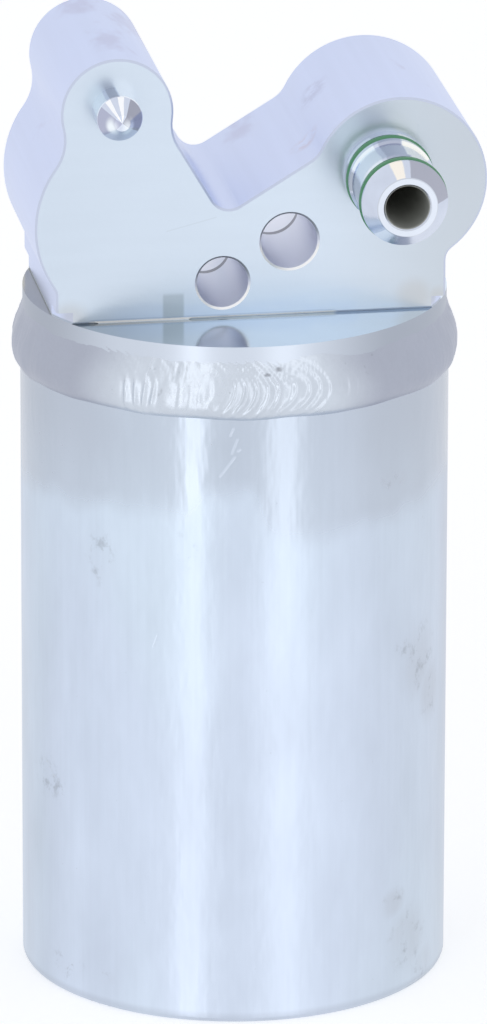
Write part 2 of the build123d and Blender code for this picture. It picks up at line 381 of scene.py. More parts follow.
# Handling marks on the can: bearing, height in mm, reach in mm, stretch upwards.
CAN_MARKS = (
    (50.7, 57.3, 7.0, 0.8),
    (56.9, 50.8, 5.0, 0.7),
    (43.2, 60.3, 3.5, 1.2),
    (37.6, 90.8, 3.0, 1.0),
    (42.1, 89.7, 2.0, 1.0),
    (39.2, 93.9, 1.4, 1.0),
    (-69.1, 36.6, 6.0, 1.3),
    (-64.0, 35.8, 3.0, 1.4),
    (46.0, 9.2, 7.0, 0.9),
    (54.3, 3.1, 5.0, 1.2),
    (39.3, 16.6, 4.0, 1.2),
    (-60.1, 5.3, 5.5, 1.6),
    (-45.8, 5.5, 3.0, 1.8),
    (-47.5, 78.1, 4.0, 0.6),
    (-22.9, 81.2, 3.0, 0.7),
    (118.0, 30.0, 7.0, 0.9),
    (151.0, 71.0, 6.0, 0.7),
    (-140.0, 52.0, 8.0, 0.8),
    (-160.0, 12.0, 5.0, 1.2),
)
# Scratches on the can: bearing and height in mm of both ends.
CAN_SCRAPES = (
    (-12.9, 94.3, -9.0, 97.6),
    (-9.8, 98.2, -8.3, 100.6),
    (-10.2, 101.2, -9.4, 102.4),
    (-8.2, 98.6, -7.6, 98.9),
    (41.0, 11.0, 44.0, 12.6),
    (-66.0, 37.2, -71.0, 39.4),
    (-31.0, 64.5, -29.8, 66.5),
    (128.0, 55.0, 133.0, 48.0),
    (-125.0, 85.0, -121.0, 80.0),
)


def heated_band(finish, settings):
    """The band under the weld: where it is, and how much it covers the bare metal."""
    edge = finish.grain(
        32, stretch=(1, 1, 0.5), detail=3, roughness=0.6, shift=(0.3, 0, 0)
    )
    ragged = finish.grain(240, detail=3)
    front = 1.0 - finish.y.rise(*mm(-30, -10))
    notch = finish.x.within(*mm(-9, -4, 4)) * (5 * MM)
    notch = notch - finish.x.rise(*mm(-2, 3)) * (2.5 * MM)
    level = finish.z + (edge - 0.5) * (15 * MM) + (ragged - 0.5) * (2.4 * MM)
    level = level - notch * front
    band = level.rise(settings.band_z - 3.0 * MM, settings.band_z + 3.0 * MM)
    bloom = 0.72 + 0.28 * finish.z.rise(RIM_Z - 20 * MM, RIM_Z - 6 * MM)
    middle = finish.x.within(*mm(-20, 10, 10)) * front
    return band, band * bloom * (0.85 - middle * 0.3)


def can_marks(finish):
    """1 near the handling marks and 0 elsewhere."""
    marks = 0.0
    for bearing, z, reach, rise in CAN_MARKS:
        spot = finish.near(on_can(bearing, z), reach * MM, (1, 1, rise))
        marks = spot.most(marks)
    return marks


def can_scrapes(finish):
    """1 on the scratches and 0 elsewhere."""
    scrapes = 0.0
    for bearing, z, far_bearing, far_z in CAN_SCRAPES:
        ends = on_can(bearing, z), on_can(far_bearing, far_z)
        scrapes = finish.scrape(*ends, CAN_SCRAPE_WIDTH).most(scrapes)
    return scrapes


def can_finish(settings):
    """Drawn aluminium: upright lines, clouds, a heated band and handling marks."""
    finish = Finish("can aluminium")
    lines = finish.grain(1400, stretch=(1, 1, 0.02), detail=3)
    broad = finish.grain(170, stretch=(1, 1, 0.06), detail=2)
    cloud = finish.grain(30, stretch=(1, 1, 0.45), detail=4, roughness=0.6)
    speck = finish.grain(500, detail=3)
    brushed = finish.grain(
        75, stretch=(1, 1, 0.35), detail=4, roughness=0.65,
        turn=(0, 0.25, 0), shift=(0.7, 0, 0),
    )
    light = 0.685 + lines * 0.06 + broad * 0.08 + cloud * 0.22 + brushed * 0.29
    metal = finish.shade(settings.metal, light)
    cool = finish.grain(22, stretch=(1, 1, 0.3), detail=2, shift=(3, 1, 0))
    cool = cool.rise(0.42, 0.62)
    metal = finish.blend(metal, finish.shade(CAN_COOL, light), cool * 0.35)

    band, cover = heated_band(finish, settings)
    dull = finish.shade(settings.heated, 0.9 + cloud * 0.2)
    metal = finish.blend(metal, dull, cover)

    marks = can_marks(finish)
    blotch = finish.grain(330, detail=4, roughness=0.7).rise(0.52, 0.7)
    fine = finish.grain(900, detail=2, roughness=0.8, shift=(0.5, 0.2, 0.1))
    dirt = (marks * blotch).most(fine.rise(0.72, 0.8) * 0.5)
    haze = marks * cloud.rise(0.42, 0.66)
    metal = finish.blend(metal, CAN_HAZE, haze * 0.4)
    metal = finish.blend(metal, settings.dirt, dirt * 0.4)
    scrapes = can_scrapes(finish)
    metal = finish.blend(metal, CAN_SCRAPED, scrapes * (0.05 + blotch * 0.5))

    # Light and shade that stay with the can: its right, its sides and its low edge.
    metal = finish.blend(metal, CAN_RIGHT_SIDE, finish.x.rise(*mm(5, 32)) * 0.3)
    metal = finish.shade(metal, 1.0 - finish.x.size().rise(*mm(29, 35)) * 0.12)
    low_edge = 1.0 - finish.z.rise(*mm(1.0, 2.2))
    metal = finish.blend(metal, CAN_LOW_EDGE, low_edge * 0.35)
    height = lines * 0.5 + speck * 0.25 + broad * 0.5 + brushed * 12.0 - scrapes * 1.5
    roughness = settings.roughness - band * 0.11 + (cloud - 0.5) * 0.14 + dirt * 0.2
    return finish.set(
        Base_Color=metal,
        Metallic=1.0,
        Roughness=roughness,
        Normal=finish.relief(height, 0.02 * MM),
    )


# ---- the head's finish -----------------------------------------------------------
# Colours on the milled faces, on their edges and along their foot: painted shade on the
# face's right, on the broken edges and in a line above the foot, and a painted
# highlight in the middle of the foot's seam.
FACE_RIGHT_SHADE = (0.49, 0.53, 0.57)
FACE_FOOT = (0.50, 0.61, 0.78)
FACE_SMUDGE = (0.40, 0.46, 0.50)
FOOT_SHADE_LINE = (0.30, 0.38, 0.50)
FACE_SCRAPED = (0.5, 0.56, 0.62)
FACE_CORNER = (0.46, 0.45, 0.43)
BROKEN_EDGE_SHADE = (0.56, 0.60, 0.68)
SEAM_SIDE = (0.62, 0.70, 0.82)
SEAM_HIGHLIGHT = (1.0, 0.99, 0.96)
# Colours on the extruded skin.
SKIN_STAIN = (0.50, 0.50, 0.66)
SKIN_DULL = (0.47, 0.49, 0.66)
SKIN_PINK = (0.55, 0.46, 0.54)
# Colours of the turned deck beside the block, a painted shade, and of the flange's wall
# and its painted shade at the sides.
DECK_BESIDE_SHADE = (0.42, 0.41, 0.37)
FLANGE_WALL = (0.64, 0.69, 0.77)
FLANGE_SIDE = (0.36, 0.39, 0.45)
# Colours in the bolt holes, painted light on their walls, a painted shadow at their
# step and a painted highlight and shade on their rims, and in the inlet's drilling.
BORE_WALL_LIGHT = (0.86, 0.88, 0.97)
BORE_STEP_SHADOW = (0.20, 0.20, 0.24)
BORE_RIM_LIT = (1.0, 1.0, 0.98)
BORE_RIM_SHADE = (0.42, 0.44, 0.48)
PORT_WALL = (0.44, 0.45, 0.42)
# Rubbed corners of the front face: across and height in mm, reach in mm.
FACE_CORNERS = ((-29.8, 116.9, 4.0), (26.4, 118.2, 4.0), (30.4, 117.8, 2.5))
# Scratches on the two faces: both ends as above, front -1 or rear 1, width in mm.
FACE_SCRAPES = (
    (26.8, 143.0, 26.9, 147.0, -1, 0.3),
    (-14.0, 131.0, -6.0, 133.0, -1, 0.16),
    (9.0, 127.0, 22.0, 131.0, 1, 0.2),
)
# Stains on the valley's skin: place in mm, reach in mm, stretch, colour.
SKIN_STAINS = (
    ((13.5, 3.3, 146.5), 4.2, (1, 0.8, 1), SKIN_DULL),
    ((10.6, -9.5, 141.8), 4.0, (1, 1.2, 1), SKIN_PINK),
)


def milled_tone(finish, settings, sweep, cloud, foot_centre):
    """Milled faces: faint sweeping tool marks, painted shade on the right, blue
    blotches along the foot, a smudge, a painted shade line and scratches.
    """
    above_deck = finish.z - DECK_Z
    tone = finish.shade(settings.milled, 0.93 + sweep * 0.05 + cloud * 0.08)
    # Painted shade: the face grows darker towards its right.
    tone = finish.blend(tone, FACE_RIGHT_SHADE, finish.x.rise(*mm(8, 36)) * 0.85)

    streaks = finish.grain(260, stretch=(0.12, 1, 1), detail=3, shift=(0.4, 0, 0))
    foot = 1.0 - finish.z.rise(DECK_Z, DECK_Z + 5.5 * MM)
    foot = foot * (cloud + streaks).rise(0.85, 1.1)
    foot = foot * (1.0 - finish.x.size().rise(*mm(20, 28)))
    tone = finish.blend(tone, FACE_FOOT, foot * 0.45)

    smudge = finish.x.within(*mm(-14.4, -11.5, 0.5))
    smudge = smudge * (1.0 - finish.z.rise(DECK_Z + 3.9 * MM, DECK_Z + 4.8 * MM))
    smudge = smudge * (1.0 - finish.y.rise(-FACE_Y, 0.0))
    tone = finish.blend(tone, FACE_SMUDGE, smudge * (0.45 + streaks * 0.6))
    # Painted shade: a dark line just above the seam at the foot of the faces.
    foot_shade_line = foot_centre * above_deck.within(*mm(0.42, 0.6, 0.1))
    tone = finish.blend(tone, FOOT_SHADE_LINE, foot_shade_line * 0.4)

    scrapes = 0.0
    for across, z, far_across, far_z, side, width in FACE_SCRAPES:
        start = (across * MM, side * FACE_Y, z * MM)
        end = (far_across * MM, side * FACE_Y, far_z * MM)
        scrapes = finish.scrape(start, end, width * MM).most(scrapes)
    return finish.blend(tone, FACE_SCRAPED, scrapes * 0.35)


def skin_tone(finish, settings, streak, drag, cloud):
    """Extruded skin: streaks along the block, and a few pink and grey stains."""
    light = 0.90 + streak * 0.06 + drag * 0.08 + cloud * 0.06
    tone = finish.shade(settings.skin, light)
    stain = finish.grain(
        60, stretch=(1, 0.5, 1), detail=4, roughness=0.65, shift=(0.1, 0.4, 0)
    )
    tone = finish.blend(tone, SKIN_STAIN, stain.rise(0.60, 0.70) * 0.5)
    blot = finish.grain(300, detail=4, roughness=0.7).rise(0.42, 0.6)
    for spot, reach, stretch, color in SKIN_STAINS:
        stain = finish.near(mm(*spot), reach * MM, stretch)
        tone = finish.blend(tone, color, stain * blot * 0.5)
    return tone


def deck_tone(finish, settings, turned, facing_up, blur):
    """Turned deck and flange: rings about the can's axis, painted shade on the deck's
    left and beside the block, and the flange's wall with painted shade at its sides.
    """
    radius = (finish.x * finish.x + finish.y * finish.y) ** 0.5
    rings = (radius * (math.tau / (0.55 * MM))).wave() * 0.5 + 0.5
    # Painted shade: the deck grows darker towards its left.
    left = 1.0 - finish.x.rise(*mm(-30, 4))
    light = (0.88 + rings * 0.05 + blur * 0.14) * (1.0 - left * 0.5)
    tone = finish.shade(settings.turned, light)
    # Painted shade on the deck beside the block, on its left.
    beside = finish.x.within(*mm(-60, -31, 3))
    tone = finish.blend(tone, DECK_BESIDE_SHADE, beside * (0.65 + blur * 0.4))
    wall = turned * (1.0 - facing_up)
    tone = finish.blend(tone, FLANGE_WALL, wall * 0.9)
    side = finish.x.rise(*mm(4, 22)).most(1.0 - finish.x.rise(*mm(-34, -22)))
    side = side.most(finish.y.rise(*mm(-12, 0)))
    return finish.blend(tone, FLANGE_SIDE, wall * side * 0.8)


def tone_bores(finish, base, facing, turned, up):
    """Drilled walls of the bolt holes, lightened with painted light, with a painted
    shadow at their step and a painted highlight and shade at their broken edges.
    """
    bores = 0.0
    for across, level, radius in BOLT_HOLES:
        away = finish.about(across * MM, DECK_Z + level * MM)[1]
        bore = 1.0 - away.rise((radius + 1.4) * MM, (radius + 1.5) * MM)
        bores = bore.most(bores)
    inner = bores * (1.0 - facing) * (1.0 - turned)
    # Painted light on the walls of the holes.
    base = finish.blend(base, BORE_WALL_LIGHT, inner * 0.95)
    # Painted shadow at the step inside each hole.
    step = inner * finish.y.within(*mm(0.4, 1.4, 0.3))
    base = finish.blend(base, BORE_STEP_SHADOW, step * 0.8)
    # Painted highlight where the rim faces up, painted shade where it faces down.
    rim = inner * finish.y.size().rise(FACE_Y - 0.36 * MM, FACE_Y - 0.33 * MM)
    base = finish.blend(base, BORE_RIM_LIT, rim * up.rise(0.0, 0.2))
    return finish.blend(base, BORE_RIM_SHADE, rim * (1.0 - up.rise(-0.3, 0.0)))


def head_finish(settings):
    """Milled faces, extruded skin and a turned deck, told apart by place and facing."""
    finish = Finish("block aluminium")
    normal = finish.add("ShaderNodeNewGeometry", out="Normal")
    _, toward_face, up = finish.split(normal)
    facing = toward_face.size().rise(0.80, 0.95)
    facing_up = up.rise(0.3, 0.7)
    turned = 1.0 - finish.z.rise(DECK_Z + 0.02 * MM, DECK_Z + 0.06 * MM)
    above_deck = finish.z - DECK_Z

    sweep = finish.grain(
        420, stretch=(0.12, 1, 1), turn=(0, math.radians(24), 0), detail=3
    )
    cloud = finish.grain(38, detail=4, roughness=0.6)
    pores = finish.grain(1500, detail=2)
    streak = finish.grain(700, stretch=(1, 0.02, 1), detail=3)
    drag = finish.grain(130, stretch=(1, 0.08, 1), detail=2)
    blur = finish.grain(55, detail=3)
    foot_centre = finish.x.within(*mm(-26, 13, 1))

    milled = milled_tone(finish, settings, sweep, cloud, foot_centre)
    skin = skin_tone(finish, settings, streak, drag, cloud)
    base = finish.blend(skin, milled, facing)
    corners = 0.0
    for across, z, reach in FACE_CORNERS:
        corner = finish.near((across * MM, -FACE_Y, z * MM), reach * MM)
        corners = corner.most(corners)
    base = finish.blend(base, FACE_CORNER, corners * cloud * (1.0 - turned) * 0.9)
    # Painted shade on the broken edges, chosen by the way they face.
    broken = toward_face.size().within(0.55, 0.85, 0.1)
    broken = broken * above_deck.rise(*mm(0.5, 1.0))
    base = finish.blend(base, BROKEN_EDGE_SHADE, broken * 0.6)
    # The thin line along the foot of the faces: a white painted highlight in the
    # middle, a plain pale line at the sides.
    seam = (1.0 - turned) * (1.0 - above_deck.rise(*mm(0.37, 0.40)))
    base = finish.blend(base, finish.blend(SEAM_SIDE, SEAM_HIGHLIGHT, foot_centre), seam)
    deck = deck_tone(finish, settings, turned, facing_up, blur)
    base = finish.blend(base, deck, turned)
    base = tone_bores(finish, base, facing, turned, up)

    roughness = (0.40 + (cloud - 0.5) * 0.12) * (1.0 - facing)
    roughness = roughness + (0.30 + (cloud - 0.5) * 0.12) * facing
    top = turned * facing_up
    roughness = roughness * (1.0 - top) + 0.11 * top + blur * 0.04 * top
    height = (streak * 0.5 + drag) * (1.0 - facing)
    height = height + (sweep * 0.8 + pores * 0.3) * facing
    height = height * above_deck.rise(*mm(0.1, 1.2))

    # The inlet's drilling is dull with dry oil, so light still spreads in it.
    across, level = INLET_AXIS
    port = finish.about(across * MM, DECK_Z + level * MM)[1]
    drilled = (1.0 - port.rise(*mm(3.7, 3.9))) * (1.0 - finish.y.rise(*mm(0, 1)))
    base = finish.blend(base, PORT_WALL, drilled)
    return finish.set(
        Base_Color=base,
        Metallic=(1.0 - drilled * 0.9) * (1.0 - seam),
        Roughness=roughness + drilled * 0.3,
        Normal=finish.relief(height, 0.02 * MM),
    )


# ---- the weld's finish -----------------------------------------------------------
WELD_SOOT = (0.22, 0.23, 0.26)
# Pits in the weld: bearing, height in mm, reach in mm, stretch upwards.
WELD_PITS = ((2.7, 112.2, 0.9, 1.6), (-0.5, 111.4, 0.8, 1.8))


def weld_finish(settings):
    """Weld metal: painted light on the front towards the camera, a darker painted-shade
    copy elsewhere.
    """
    finish = Finish("weld aluminium")
    cloud = finish.grain(90, detail=4, roughness=0.6)
    fine = finish.grain(1300, detail=3, roughness=0.6)
    # Painted light: the bead is lit on its front, towards the camera, and shaded
    # elsewhere.
    front = (finish.y * -1.0 - finish.x * 0.2).rise(*mm(26, 34))
    front_lit = front * (0.75 + cloud * 0.5)
    metal = finish.blend(settings.dull, settings.metal, front_lit.least(1.0))
    metal = finish.shade(metal, 0.88 + cloud * 0.16 + fine * 0.06)
    pits = 0.0
    for bearing, z, reach, rise in WELD_PITS:
        pit = finish.near(on_can(bearing, z), reach * MM, (1, 1, rise))
        pits = pit.most(pits)
    soot = finish.grain(420, detail=3, roughness=0.7).rise(0.66, 0.74)
    metal = finish.blend(metal, WELD_SOOT, pits * 0.7 + soot * 0.22)
    return finish.set(
        Base_Color=metal,
        Metallic=1.0,
        Roughness=0.27 + (1.0 - front) * 0.17 + (cloud - 0.5) * 0.16,
        Normal=finish.relief(fine + cloud, 0.03 * MM),
    )


# ---- the fittings' finishes ------------------------------------------------------
# Reflections on the turned fittings: bearing from straight up and half width in
# degrees, from and to in mm past the block's face, colour, strength.
SPIGOT_GLINTS = (
    (-13.0, 7.0, 16.2, 19.3, (1.0, 0.93, 0.82), 0.95),
    (45.0, 38.0, 16.2, 19.3, (0.36, 0.36, 0.42), 0.75),
    (-150.0, 14.0, 16.2, 19.3, (0.95, 0.97, 1.0), 0.6),
    (-4.0, 14.0, 3.0, 14.5, (0.42, 0.45, 0.56), 0.8),
    (36.0, 22.0, 1.0, 14.5, (1.0, 0.99, 0.93), 0.95),
    (-48.0, 20.0, 1.0, 14.5, (0.86, 0.94, 0.98), 0.9),
    (-86.0, 12.0, 1.0, 14.5, (0.34, 0.38, 0.44), 0.7),
    (0.0, 180.0, 19.4, 19.6, (0.62, 0.66, 0.73), 1.0),
)
PIN_GLINTS = (
    (-33.0, 6.0, 5.2, 8.2, (1.0, 1.0, 1.0), 0.95),
    (2.0, 7.0, 5.2, 8.2, (1.0, 1.0, 1.0), 0.95),
    (78.0, 48.0, 5.2, 8.2, (0.30, 0.30, 0.36), 0.8),
    (-96.0, 40.0, 5.2, 8.2, (0.42, 0.43, 0.56), 0.8),
    (28.0, 26.0, 0.0, 5.0, (1.0, 1.0, 1.0), 0.95),
    (-14.0, 10.0, 0.0, 5.0, (0.36, 0.38, 0.46), 0.8),
    (-58.0, 22.0, 0.0, 5.0, (0.88, 0.96, 1.0), 0.9),
)
FITTINGS = {
    "inlet_spigot": (INLET_AXIS, SPIGOT_GLINTS),
    "outlet_spigot": (OUTLET_AXIS, SPIGOT_GLINTS),
    "locating_pin": (PIN_AXIS, PIN_GLINTS),
}
SEALS = (
    "inlet_o_ring_inner",
    "inlet_o_ring_outer",
    "outlet_o_ring_inner",
    "outlet_o_ring_outer",
    "tube_o_ring",
)
# Painted highlights at the foot of the pin's cone, in mm.
PIN_HIGHLIGHTS = ((-23.9, -25.6, 151.0), (-21.6, -25.6, 151.1))
PIN_HIGHLIGHT = (0.92, 0.97, 1.0)
PIN_HIGHLIGHT_REACH = 1.5 * MM
SPIGOT_BORE = (0.42, 0.43, 0.40)
# A glint's soft edges and its waver round the axis in degrees, and its soft ends.
GLINT_EDGE = 3.0
GLINT_WAVER = 8.0
GLINT_END = 0.15 * MM


def turned_finish(settings, node):
    """Bright turned metal: fine tool rings, and glints that follow the turning."""
    (across, level), glints = FITTINGS[node]
    finish = Finish(node + " metal")
    rings = (finish.y * (math.tau / (0.4 * MM))).wave() * 0.5 + 0.5
    haze = finish.grain(260, detail=3)
    metal = finish.shade(settings.metal, 0.90 + haze * 0.18)
    bearing, away = finish.about(across * MM, DECK_Z + level * MM)
    bearing = bearing + (haze - 0.5) * GLINT_WAVER
    past = finish.y.size() - FACE_Y
    for middle, half, start, end, color, strength in glints:
        glint = bearing.within(middle - half, middle + half, GLINT_EDGE)
        glint = glint * past.within(start * MM, end * MM, GLINT_END)
        metal = finish.blend(metal, color, glint * strength)
    if node == "locating_pin":
        # Painted highlights on the pin's cone.
        for spot in PIN_HIGHLIGHTS:
            highlight = finish.near(mm(*spot), PIN_HIGHLIGHT_REACH, (1, 1, 0.7))
            metal = finish.blend(metal, PIN_HIGHLIGHT, highlight)
        bored = 0.0
    else:
        bored = 1.0 - away.rise(*mm(3.6, 3.7))
    metal = finish.blend(metal, SPIGOT_BORE, bored)
    return finish.set(
        Base_Color=metal,
        Metallic=1.0 - bored * 0.9,
        Roughness=0.13 + haze * 0.08 + bored * 0.5,
        Normal=finish.relief(rings * 0.08 + haze, 0.015 * MM),
    )


def rubber_finish(settings):
    """Green seal rubber with a satin surface and pale dust."""
    finish = Finish("green rubber")
    fine = finish.grain(2600, detail=2)
    dust = finish.grain(420, detail=3).rise(0.5, 0.75)
    color = finish.shade(settings.rubber, 0.8 + fine * 0.4)
    return finish.set(
        Base_Color=finish.blend(color, (0.20, 0.36, 0.27), dust * 0.35),
        Roughness=0.30 + dust * 0.2,
        Normal=finish.relief(fine, 0.01 * MM),
    )


# ---- finishes of the inner pieces ------------------------------------------------
# Inner metals: name, colour, roughness and how their lines are stretched.
TUBE_METAL = ("tube aluminium", (0.72, 0.75, 0.78), 0.3, (1, 1, 0.03))
PLATE_METAL = ("plate steel", (0.56, 0.56, 0.55), 0.36, (0.05, 1, 1))
SPRING_METAL = ("spring steel", (0.42, 0.43, 0.45), 0.32, (1, 1, 1))
DESICCANT_BEADS = 520.0  # to the metre


def brushed_finish(name, color, roughness, stretch):
    """Drawn or rolled metal of an inner piece."""
    finish = Finish(name)
    lines = finish.grain(900, stretch=stretch, detail=3)
    cloud = finish.grain(70, detail=3)
    return finish.set(
        Base_Color=finish.shade(color, 0.85 + lines * 0.12 + cloud * 0.16),
        Metallic=1.0,
        Roughness=roughness + (cloud - 0.5) * 0.12,
        Normal=finish.relief(lines, 0.015 * MM),
    )


def felt_finish():
    """Pressed white felt."""
    finish = Finish("filter felt")
    fibre = finish.grain(1600, stretch=(1, 1, 0.4), detail=5, roughness=0.7)
    lump = finish.grain(240, detail=3)
    pale = fibre * 0.6 + lump * 0.4
    return finish.set(
        Base_Color=finish.blend((0.72, 0.72, 0.68), (0.88, 0.88, 0.85), pale),
        Roughness=0.95,
        Normal=finish.relief(fibre + lump * 0.6, 0.25 * MM),
    )


def bead_bed_finish():
    """Packed round desiccant beads."""
    finish = Finish("desiccant beads")
    cells, tone = (
        finish.add(
            "ShaderNodeTexVoronoi", {"feature": "F1"}, out=out,
            Vector=finish.place, Scale=DESICCANT_BEADS,
        )
        for out in ("Distance", "Color")
    )
    dome = 1.0 - cells.rise(0.05, 0.62)
    color = finish.blend((0.42, 0.36, 0.28), (0.80, 0.74, 0.62), dome)
    return finish.set(
        Base_Color=finish.blend(color, tone, 0.25, mode="SOFT_LIGHT"),
        Roughness=0.75,
        Normal=finish.relief(dome, 0.6 * MM),
    )


def strainer_finish():
    """Pale moulded plastic."""
    finish = Finish("strainer plastic")
    fine = finish.grain(1200, detail=3)
    cloud = finish.grain(120, detail=2)
    return finish.set(
        Base_Color=finish.shade((0.80, 0.79, 0.74), 0.92 + cloud * 0.12),
        Roughness=0.42 + fine * 0.1,
        Normal=finish.relief(fine, 0.02 * MM),
    )


# ---- weld bead -------------------------------------------------------------------
# The bead's section runs from its foot on the can, over its crown, to its top on
# the flange. Both ends are tucked into the metal, and a root closes it inside.
BEAD_TUCK = 0.05 * MM
BEAD_CROWN_Z = RIM_Z + 0.2 * MM
BEAD_FOOT = (CAN_RADIUS - BEAD_TUCK, RIM_Z - 3.65 * MM)
BEAD_TOP = (FLANGE_RADIUS - BEAD_TUCK, RIM_Z + 6.3 * MM)
BEAD_ROOT = (CAN_RADIUS - 1.6 * MM, BEAD_CROWN_Z)
BEAD_BULGE = 1.6 * MM
BEAD_SAMPLES = 30
FOOT_POWER = 2.7  # higher gives a fuller foot
# Points deeper than this under the can's wall belong to the root and stay.
ROOT_DEPTH = 0.8 * MM
# The ripples keep this far inside the solid bead's radius.
BEAD_MARGIN = 0.02 * MM
# Where the ripples stand: bearing from and to, share of the ripple height.
RIPPLE_RUNS = (
    (-42.0, -28.0, 1.0),
    (-28.0, -11.0, 0.16),
    (-11.0, 17.5, 1.0),
    (17.5, 26.0, 0.3),
    (70.0, 118.0, 0.22),
    (125.0, 176.0, 0.55),
    (-150.0, -100.0, 0.4),
)
PLAIN_SHARE = 0.09
# A run fades in over the first of these angles and out over the second.
RUN_FADE_IN, RUN_FADE_OUT = 3.0, 1.2
# A ripple climbs over this share of its pitch and falls over the rest.
RIPPLE_CLIMB = 0.18
RIPPLE_MEAN = 0.45
# Ripples are upright at this share of the way up, and lean from there in mm: back
# at the top, and at the foot more on the right than on the left.
RIPPLE_UPRIGHT = 0.55
LEAN_TOP = 4.8
LEAN_FOOT_LEFT = 0.5
LEAN_FOOT_GROWS = 3.6
LEAN_GROWS_FROM, LEAN_GROWS_OVER = -20.0, 8.0
# The foot drops by so many mm: from so many degrees off its middle, over so many.
FOOT_DROP = 1.0
FOOT_MIDDLE, FOOT_LEVEL, FOOT_SLOPE = -9.0, 45.0, 35.0
# The pool where the weld ended: bearing, half width in degrees, height in mm.
END_POOL = (15.0, 6.5, 0.22)


def clamp(value):
    """The value, held between 0 and 1."""
    return min(max(value, 0.0), 1.0)


def run_share(bearing):
    """Share of the ripple height at a bearing, faded over the ends of each run."""
    share = PLAIN_SHARE
    for start, end, run in RIPPLE_RUNS:
        fade = clamp((bearing - start) / RUN_FADE_IN)
        fade *= clamp((end - bearing) / RUN_FADE_OUT)
        share = max(share, run * fade)
    return share


def crescent(phase):
    """Height of a ripple over its pitch: a quick step up, then a long fall."""
    part = phase % 1.0
    if part < RIPPLE_CLIMB:
        return part / RIPPLE_CLIMB
    return ((1.0 - part) / (1.0 - RIPPLE_CLIMB)) ** 1.6


def edge_lift(bearing, around, along):
    """How far a point moves up: the foot is lower at the sides, the top is ragged."""
    side = clamp((abs(bearing - FOOT_MIDDLE) - FOOT_LEVEL) / FOOT_SLOPE)
    foot = -FOOT_DROP * side + 0.35 * noise.noise(around * 5.0)
    top = 0.9 * noise.noise(around * 3.1 + Vector((4, 0, 0)))
    top += 0.15 * noise.noise(around * 14.0)
    return (foot * (1.0 - along) + top * along) * MM


def ripple_height(bearing, around, along, settings):
    """Crescents that lean back to their top, and right of the pool to their foot."""
    above = max(along - RIPPLE_UPRIGHT, 0.0) / (1.0 - RIPPLE_UPRIGHT)
    below = max(RIPPLE_UPRIGHT - along, 0.0) / RIPPLE_UPRIGHT
    right = clamp((bearing - LEAN_GROWS_FROM) / LEAN_GROWS_OVER)
    lean_foot = LEAN_FOOT_LEFT + LEAN_FOOT_GROWS * right
    lean = -(LEAN_TOP * above**1.5 + lean_foot * below**2) * MM
    x, y = around.x, around.y
    wander = noise.noise(Vector((x * 7.0, y * 7.0, along * 0.9))) * 0.75
    phase = (math.radians(bearing) * CAN_RADIUS - lean) / settings.pitch + wander
    deep = 0.65 + 0.7 * noise.noise(Vector((x * 16.0, y * 16.0, along * 2.0 + 7.0)))
    share = run_share(bearing - math.degrees(lean / CAN_RADIUS))
    shown = clamp((along - 0.06) / 0.16)
    return (crescent(phase) - RIPPLE_MEAN) * settings.height * share * deep * shown


def lump_height(around, along):
    """Slow lumps, and small ones on them."""
    slow = noise.noise(around * 9.0 + Vector((0, 0, along * 1.7))) * 0.16 * MM
    small = noise.noise(around * 40.0 + Vector((0, 0, along * 5.0))) * 0.05 * MM
    return slow + small


def pool_height(bearing):
    """The low mound where the weld ended."""
    middle, half, height = END_POOL
    return math.exp(-((bearing - middle) / half) ** 2) * height * MM


def shape_bead(vert, settings):
    """Moves one vertex of the plain ring to its place on the rippled bead."""
    point = vert.co
    radius = math.hypot(point.x, point.y)
    if radius < CAN_RADIUS - ROOT_DEPTH:
        return
    bearing = math.degrees(math.atan2(point.x, -point.y))
    angle = math.radians(bearing)
    around = Vector((math.sin(angle), math.cos(angle), 0.0))
    along = clamp((point.z - BEAD_FOOT[1]) / (BEAD_TOP[1] - BEAD_FOOT[1]))
    swell = math.sin(math.pi * along) ** 0.6 if 0.0 < along < 1.0 else 0.0
    swell = min(swell * 1.5, 1.0)
    ripple = ripple_height(bearing, around, along, settings)
    lump = lump_height(around, along)
    radius += swell * (ripple + lump + pool_height(bearing))
    radius = min(radius, BEAD_RADIUS - BEAD_MARGIN)
    level = point.z + edge_lift(bearing, around, along)
    vert.co = Vector((radius * math.sin(angle), -radius * math.cos(angle), level))


def bead_section():
    """Radius and height of the points of the bead's section."""
    points = []
    for sample in range(BEAD_SAMPLES + 1):
        share = (1.0 - math.cos(math.pi * sample / BEAD_SAMPLES)) / 2
        if share < 0.5:
            part = 2.0 * share
            level = BEAD_FOOT[1] + (BEAD_CROWN_Z - BEAD_FOOT[1]) * part
            bulge = 1.0 - (1.0 - part) ** FOOT_POWER
        else:
            part = 2.0 - 2.0 * share
            level = BEAD_TOP[1] + (BEAD_CROWN_Z - BEAD_TOP[1]) * part
            bulge = part * part * (3.0 - 2.0 * part)
        chord = BEAD_FOOT[0] + (BEAD_TOP[0] - BEAD_FOOT[0]) * share
        points.append((chord + bulge * BEAD_BULGE, level))
    return points + [BEAD_ROOT]


def build_bead(settings):
    """Spins the bead's section round the can and gives it its ripples."""
    bm = bmesh.new()
    section = [bm.verts.new((radius, 0.0, level)) for radius, level in bead_section()]
    edges = [bm.edges.new(pair) for pair in zip(section, section[1:] + section[:1])]
    bmesh.ops.spin(
        bm, geom=section + edges, cent=(0, 0, 0), axis=(0, 0, 1), dvec=(0, 0, 0),
        angle=math.tau, steps=settings.steps, use_merge=True, use_duplicate=False,
    )
    bmesh.ops.remove_doubles(bm, verts=bm.verts, dist=0.001 * MM)
    for vert in bm.verts:
        shape_bead(vert, settings)
    bmesh.ops.recalc_face_normals(bm, faces=bm.faces)
    for face in bm.faces:
        face.smooth = True
    return new_object("weld_ring", bm)


